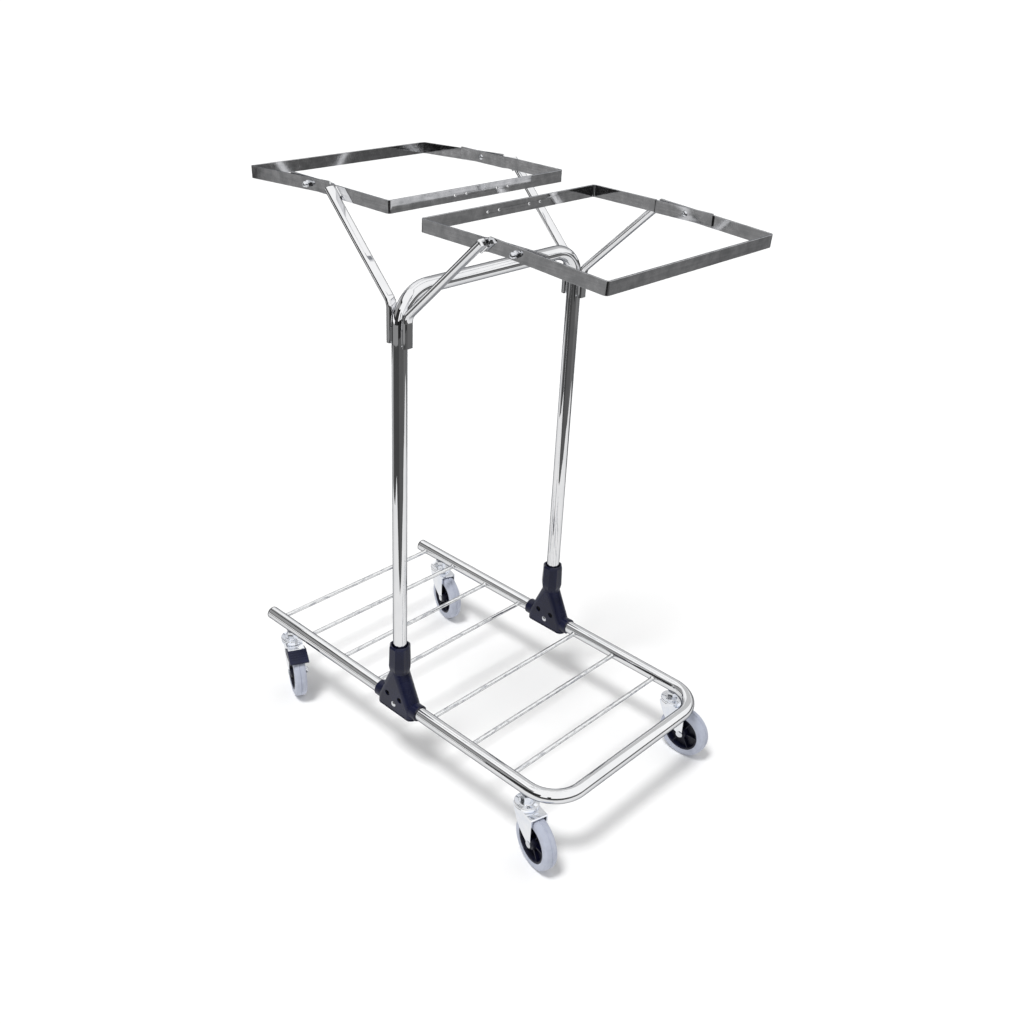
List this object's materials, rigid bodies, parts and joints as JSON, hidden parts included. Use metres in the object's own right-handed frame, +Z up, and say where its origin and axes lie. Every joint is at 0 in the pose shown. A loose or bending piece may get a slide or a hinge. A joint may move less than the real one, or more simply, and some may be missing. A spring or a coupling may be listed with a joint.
{
  "type": "bag holder trolley",
  "caption": "Wheeled stand that holds two bags open in hinged flat-bar hoops on slanted arms, above a low U-shaped tube base with cross rungs and swivel castors.",
  "frame": {"origin": "point on the floor midway between the two posts of the upright loop", "axes": "+X along the base towards its closed rounded end, +Y across from the rail with the braked castor to the other rail, +Z up"},
  "size_m": [0.8034, 0.4839, 1.045],
  "materials": {
    "tube_chrome": "bright plated",
    "hoop_steel": "bright plated flat bar",
    "castor_plating": "bright zinc plated pressing",
    "fastener_zinc": "zinc plated",
    "bracket_plastic": "fine grained moulding",
    "cap_plastic": "smooth moulding",
    "hub_plastic": "smooth moulding",
    "pedal_paint": "dark satin paint",
    "tyre_rubber": "blue-grey non-marking rubber"
  },
  "bodies": {
    "frame": {"base_tube": "tube_chrome", "end_cap_near": "cap_plastic", "end_cap_far": "cap_plastic", "rung_1": "tube_chrome", "rung_2": "tube_chrome", "rung_3": "tube_chrome", "rung_4": "tube_chrome", "rung_5": "tube_chrome", "rung_6": "tube_chrome", "rung_7": "tube_chrome", "tube_inserts": "fastener_zinc", "mast": "tube_chrome", "bracket_near_outer": "bracket_plastic", "bracket_near_inner": "bracket_plastic", "arm_near_back": "tube_chrome", "arm_near_front": "tube_chrome", "bracket_far_outer": "bracket_plastic", "bracket_far_inner": "bracket_plastic", "arm_far_back": "tube_chrome", "arm_far_front": "tube_chrome", "bracket_screws": "fastener_zinc", "bracket_nuts": "fastener_zinc", "rail_rivets": "fastener_zinc", "hoop_front_fixed": "hoop_steel", "hoop_back_fixed": "hoop_steel", "pivot_bolts": "fastener_zinc", "pivot_nuts": "fastener_zinc", "race_back_near": "castor_plating", "race_back_far": "castor_plating", "race_front_near": "castor_plating", "race_front_far": "castor_plating", "stem_back_near": "fastener_zinc", "stem_back_far": "fastener_zinc", "stem_front_near": "fastener_zinc", "stem_front_far": "fastener_zinc", "stem_nuts": "fastener_zinc"},
    "front_flap": {"hoop_front_hinged": "hoop_steel"},
    "back_flap": {"hoop_back_hinged": "hoop_steel"},
    "swivel_back_near": {"fork_back_near": "castor_plating", "axle_back_near": "fastener_zinc", "pedal_rivets": "fastener_zinc"},
    "wheel_back_near": {"hub_back_near": "hub_plastic", "tyre_back_near": "tyre_rubber"},
    "swivel_back_far": {"fork_back_far": "castor_plating", "axle_back_far": "fastener_zinc"},
    "wheel_back_far": {"hub_back_far": "hub_plastic", "tyre_back_far": "tyre_rubber"},
    "swivel_front_near": {"fork_front_near": "castor_plating", "axle_front_near": "fastener_zinc"},
    "wheel_front_near": {"hub_front_near": "hub_plastic", "tyre_front_near": "tyre_rubber"},
    "swivel_front_far": {"fork_front_far": "castor_plating", "axle_front_far": "fastener_zinc"},
    "wheel_front_far": {"hub_front_far": "hub_plastic", "tyre_front_far": "tyre_rubber"},
    "pedal": {"brake_pedal": "pedal_paint"}
  },
  "joints": [
    {"name": "front_flap_hinge", "type": "hinge", "parent": "frame", "child": "front_flap", "pos_m": [0.228, 0, 1.0205], "axis": [0, -1, 0], "range_deg": [0, 95]},
    {"name": "back_flap_hinge", "type": "hinge", "parent": "frame", "child": "back_flap", "pos_m": [-0.228, 0, 1.032], "axis": [0, 1, 0], "range_deg": [0, 95]},
    {"name": "swivel_back_near_turn", "type": "hinge", "parent": "frame", "child": "swivel_back_near", "pos_m": [-0.33, -0.206, 0.11], "axis": [0, 0, 1], "continuous": true},
    {"name": "wheel_back_near_roll", "type": "hinge", "parent": "swivel_back_near", "child": "wheel_back_near", "pos_m": [-0.29793, -0.22123, 0.05], "axis": [0.4289, 0.9033, 0], "continuous": true},
    {"name": "swivel_back_far_turn", "type": "hinge", "parent": "frame", "child": "swivel_back_far", "pos_m": [-0.33, 0.206, 0.11], "axis": [0, 0, 1], "continuous": true},
    {"name": "wheel_back_far_roll", "type": "hinge", "parent": "swivel_back_far", "child": "wheel_back_far", "pos_m": [-0.29598, 0.19586, 0.05], "axis": [0.2857, 0.9583, 0], "continuous": true},
    {"name": "swivel_front_near_turn", "type": "hinge", "parent": "frame", "child": "swivel_front_near", "pos_m": [0.3225, -0.206, 0.11], "axis": [0, 0, 1], "continuous": true},
    {"name": "wheel_front_near_roll", "type": "hinge", "parent": "swivel_front_near", "child": "wheel_front_near", "pos_m": [0.3569, -0.21477, 0.05], "axis": [0.247, 0.969, 0], "continuous": true},
    {"name": "swivel_front_far_turn", "type": "hinge", "parent": "frame", "child": "swivel_front_far", "pos_m": [0.3225, 0.206, 0.11], "axis": [0, 0, 1], "continuous": true},
    {"name": "wheel_front_far_roll", "type": "hinge", "parent": "swivel_front_far", "child": "wheel_front_far", "pos_m": [0.35797, 0.20742, 0.05], "axis": [-0.0401, 0.9992, 0], "continuous": true},
    {"name": "pedal_tilt", "type": "hinge", "parent": "swivel_back_near", "child": "pedal", "pos_m": [-0.30832, -0.21629, 0.094], "axis": [-0.4289, -0.9033, 0], "range_deg": [0, 14]}
  ]
}
